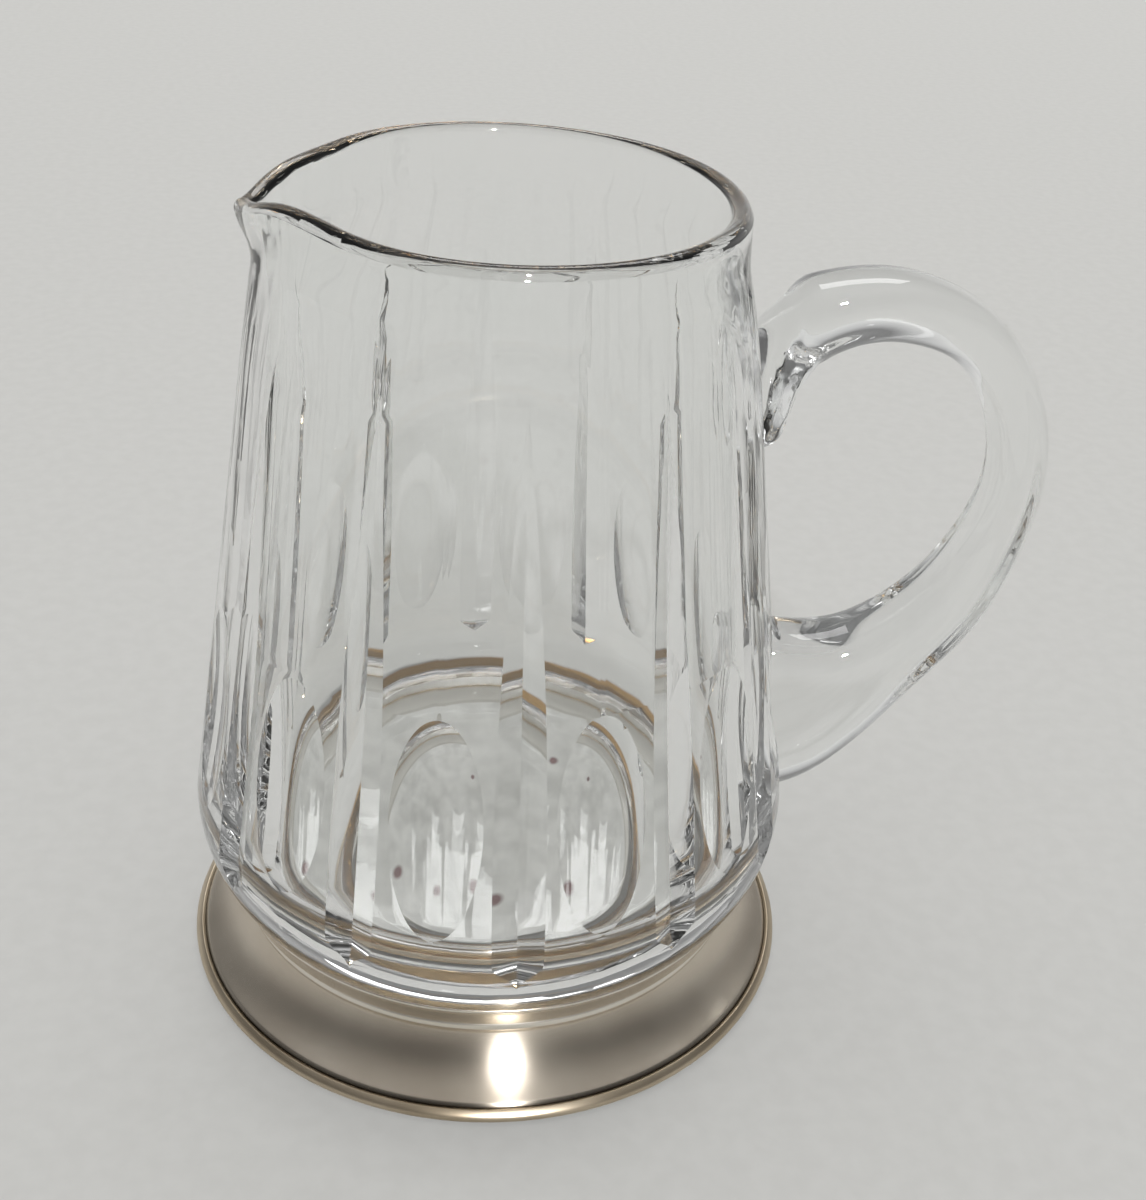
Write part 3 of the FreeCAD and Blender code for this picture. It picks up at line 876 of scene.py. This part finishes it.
def plaster_material():
    """Mottled cement with a few specks and an edge stained by glue."""
    material, nodes, links, shader = new_material("cement")
    place = object_place(nodes)
    colour, pattern = noise_colour(
        nodes, links, place, scale=60.0, detail=6.0, low=(0.62, 0.615, 0.59), high=(0.80, 0.795, 0.77)
    )
    bright, _ = noise_colour(
        nodes, links, place, scale=140.0, detail=2.0, low=(0.0, 0.0, 0.0), high=(0.16, 0.16, 0.155)
    )
    added = nodes.new("ShaderNodeVectorMath")
    links.new(colour, added.inputs[0])
    links.new(bright, added.inputs[1])
    colour = added.outputs["Vector"]
    for across, along, half_width in SPECKS:
        away = nodes.new("ShaderNodeVectorMath")
        away.operation = "DISTANCE"
        links.new(place, away.inputs[0])
        away.inputs[1].default_value = (across * MM, along * MM, BED_TOP_Z * MM)
        near = nearing(nodes, links, away.outputs["Value"], half_width, half_width / 2)
        colour = tinted(nodes, links, colour, near, SPECK_COLOUR)
    _, radius = height_and_radius(nodes, links, place)
    rings = (
        (BED_EDGE_RADII, BED_EDGE_COLOUR),
        (LEDGE_RADII, LEDGE_COLOUR),
        (STAIN_RADII, GLUE_COLOUR),
    )
    for radii, tint in rings:
        colour = stained(nodes, links, colour, radius, *radii, tint)
    links.new(colour, shader.inputs["Base Color"])
    links.new(ranged(nodes, links, pattern, low=0.45, high=0.75), shader.inputs["Roughness"])
    add_bump(nodes, links, shader, pattern, strength=0.5, distance=0.0003)
    return material


# The wood's grain is drawn out along Y
GRAIN_STRETCH = (1.0, 0.08, 1.0)


def wood_material():
    """Dark wood with straight grain."""
    material, nodes, links, shader = new_material("base_wood")
    stretch = nodes.new("ShaderNodeMapping")
    stretch.inputs["Scale"].default_value = GRAIN_STRETCH
    links.new(object_place(nodes), stretch.inputs["Vector"])
    drawn = stretch.outputs["Vector"]
    grain, pattern = noise_colour(
        nodes, links, drawn, scale=420.0, detail=6.0, low=(0.10, 0.055, 0.03), high=(0.26, 0.16, 0.10)
    )
    links.new(grain, shader.inputs["Base Color"])
    links.new(ranged(nodes, links, pattern, low=0.45, high=0.62), shader.inputs["Roughness"])
    add_bump(nodes, links, shader, pattern, strength=0.3, distance=0.0001)
    return material


def dress(piece, material, slot, *nodes):
    """Give a new piece its material and its place in the frame, and hide the nodes that it stands for.
    """
    piece.data.materials.clear()
    piece.data.materials.append(material)
    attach(piece, "root")
    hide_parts(*nodes)


def repaint(node, material):
    """Give a node of the frame that stays a better material."""
    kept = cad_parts[node]
    for slot in kept.material_slots:
        slot.material = material


def make_object():
    """Every piece of the jug, with its material."""
    satin = silver_material(
        "silver_satin", low=(0.58, 0.51, 0.42), high=(0.70, 0.63, 0.53),
        rough_low=0.20, rough_high=0.27, anisotropy=0.95, stain=(*SEAM_STAIN_RADII, SEAM_COLOUR),
    )
    bright = silver_material(
        "silver_bright", low=(0.72, 0.67, 0.58), high=(0.82, 0.77, 0.69),
        rough_low=0.18, rough_high=0.28, anisotropy=0.5, stain=(*BORE_GLUE_RADII, GLUE_COLOUR),
        glued=True,
    )
    wire = silver_material(
        "silver_wire", low=(0.44, 0.36, 0.26), high=(0.62, 0.53, 0.40),
        rough_low=0.26, rough_high=0.36, anisotropy=0.4,
    )
    plaster = plaster_material()
    dress(make_crystal(), crystal_material(), "crystal", "crystal_body", "crystal_handle")
    dress(make_collar_band(), bright, "silver_bright", "collar_band")
    dress(make_collar_moulding(), bright, "silver_bright", "collar_moulding")
    dress(make_foot_flange(), satin, "silver_satin", "foot_flange")
    dress(make_edge_wire(), wire, "silver_wire", "edge_wire")
    repaint("cement_bed", plaster)
    repaint("foot_filling", plaster)
    repaint("base_plate", wood_material())


# Camera, as the photograph was taken: lengths in millimetres, angles in degrees
IMAGE_HEIGHT_PIXELS = 1200
FOCAL_PIXELS = 1614.7
SENSOR = 36.0
CAMERA_PLACE = (-25.46, -269.39, 237.0)
CAMERA_PITCH = 30.487
CAMERA_YAW = 8.566
CAMERA_ROLL = 3.182
NEAREST_SEEN = 10.0


def make_camera():
    """Camera that looks down at the jug, with its frame slightly turned."""
    pitch, yaw, roll = (math.radians(v) for v in (CAMERA_PITCH, CAMERA_YAW, CAMERA_ROLL))
    forward = Vector((
        math.sin(yaw) * math.cos(pitch), math.cos(yaw) * math.cos(pitch), -math.sin(pitch),
    ))
    level = Vector((math.cos(yaw), -math.sin(yaw), 0.0))
    upright = level.cross(forward)
    right = level * math.cos(roll) + upright * math.sin(roll)
    up = upright * math.cos(roll) - level * math.sin(roll)
    camera = bpy.data.objects.new("camera", bpy.data.cameras.new("camera"))
    camera.data.sensor_width = SENSOR
    camera.data.lens = FOCAL_PIXELS / IMAGE_HEIGHT_PIXELS * SENSOR
    camera.data.clip_start = NEAREST_SEEN * MM
    turn = Matrix((right, up, -forward)).transposed().to_4x4()
    camera.matrix_world = Matrix.Translation(Vector(CAMERA_PLACE) * MM) @ turn
    bpy.context.scene.collection.objects.link(camera)
    bpy.context.scene.camera = camera


def make_sun(name, place, angle, strength):
    """Distant soft lamp in the direction of a place.

    Its width is in degrees and its strength in watts per square metre."""
    lamp = bpy.data.lights.new(name, "SUN")
    lamp.angle = math.radians(angle)
    lamp.energy = strength
    holder = bpy.data.objects.new(name, lamp)
    holder.location = place
    holder.rotation_euler = (-Vector(place)).to_track_quat("-Z", "Y").to_euler()
    bpy.context.scene.collection.objects.link(holder)


def make_lamp(name, place, target, width, height, power):
    """Soft box: place and size in metres, power in watts."""
    lamp = bpy.data.lights.new(name, "AREA")
    lamp.shape = "RECTANGLE"
    lamp.size, lamp.size_y = width, height
    lamp.energy = power
    holder = bpy.data.objects.new(name, lamp)
    holder.location = place
    holder.rotation_euler = (Vector(target) - Vector(place)).to_track_quat("-Z", "Y").to_euler()
    bpy.context.scene.collection.objects.link(holder)


# The floor lies a gap below the foot, and is clear from underneath
FLOOR_GAP = 0.1
FLOOR_METRES = 6.0
FLOOR_ROUGHNESS = 0.9
FLOOR_SHINE = 0.1
CLEAR = (1.0, 1.0, 1.0)


def make_floor():
    """Plain pale cloth, as backdrop."""
    bpy.ops.mesh.primitive_plane_add(size=FLOOR_METRES)
    floor = bpy.context.object
    floor.name = "floor"
    floor.location.z = -FLOOR_GAP * MM
    floor.visible_shadow = False
    material, nodes, links, shader = new_material("floor")
    place = object_place(nodes)
    colour, _ = noise_colour(
        nodes, links, place, scale=220.0, detail=3.0, low=(0.56, 0.557, 0.537), high=(0.58, 0.577, 0.557)
    )
    links.new(colour, shader.inputs["Base Color"])
    shader.inputs["Roughness"].default_value = FLOOR_ROUGHNESS
    shader.inputs["Specular IOR Level"].default_value = FLOOR_SHINE
    sides = nodes.new("ShaderNodeNewGeometry")
    add_clear(nodes, links, shader, sides.outputs["Backfacing"], CLEAR)
    floor.data.materials.append(material)


# Surroundings: colours level with the jug and straight above it, greys at heights between, and how
# their strength grows with depth, from the camera's side to the far side
SKY_LEVEL = (0.64, 0.64, 0.63)
SKY_TOP = (0.62, 0.62, 0.62)
SKY_GREYS = ((0.16, 0.48), (0.34, 0.18), (0.64, 0.18))
SKY_DEPTHS = (-0.5, 0.3)
SKY_STRENGTHS = (0.7, 1.05)


def make_world():
    """Pale surroundings with a dark band above."""
    world = bpy.data.worlds.new("studio")
    bpy.context.scene.world = world
    world.use_nodes = True
    nodes, links = world.node_tree.nodes, world.node_tree.links
    place = nodes.new("ShaderNodeTexCoord").outputs["Generated"]
    parts = nodes.new("ShaderNodeSeparateXYZ")
    links.new(place, parts.inputs["Vector"])
    ramp = nodes.new("ShaderNodeValToRGB")
    ramp.color_ramp.elements[0].color = (*SKY_LEVEL, 1.0)
    ramp.color_ramp.elements[1].color = (*SKY_TOP, 1.0)
    for height, grey in SKY_GREYS:
        step = ramp.color_ramp.elements.new(height)
        step.color = (grey, grey, grey, 1.0)
    links.new(parts.outputs["Z"], ramp.inputs["Fac"])
    links.new(ramp.outputs["Color"], nodes["Background"].inputs["Color"])
    behind = nodes.new("ShaderNodeMapRange")
    behind.inputs["From Min"].default_value = SKY_DEPTHS[0]
    behind.inputs["From Max"].default_value = SKY_DEPTHS[1]
    behind.inputs["To Min"].default_value = SKY_STRENGTHS[0]
    behind.inputs["To Max"].default_value = SKY_STRENGTHS[1]
    links.new(parts.outputs["Y"], behind.inputs["Value"])
    links.new(behind.outputs["Result"], nodes["Background"].inputs["Strength"])


# How often light may turn on its way: the many faces of the cut glass need more than usual
GLASS_BOUNCES = 24
SHINE_BOUNCES = 16


def set_light_paths():
    """Long paths through the glass, without light that the glass gathers."""
    light_paths = bpy.context.scene.cycles
    light_paths.max_bounces = GLASS_BOUNCES
    light_paths.transmission_bounces = GLASS_BOUNCES
    light_paths.glossy_bounces = SHINE_BOUNCES
    light_paths.transparent_max_bounces = SHINE_BOUNCES
    light_paths.caustics_reflective = False
    light_paths.caustics_refractive = False


make_camera()
make_object()
make_floor()
make_world()
make_sun("key", place=(0.2, -2.4, 2.06), angle=3.0, strength=2.9)
make_lamp("top", place=(0.6, 2.2, 2.8), target=(0.0, 0.0, 0.08), width=2.0, height=1.2, power=22.0)
set_light_paths()
bpy.context.scene.view_settings.view_transform = "Standard"
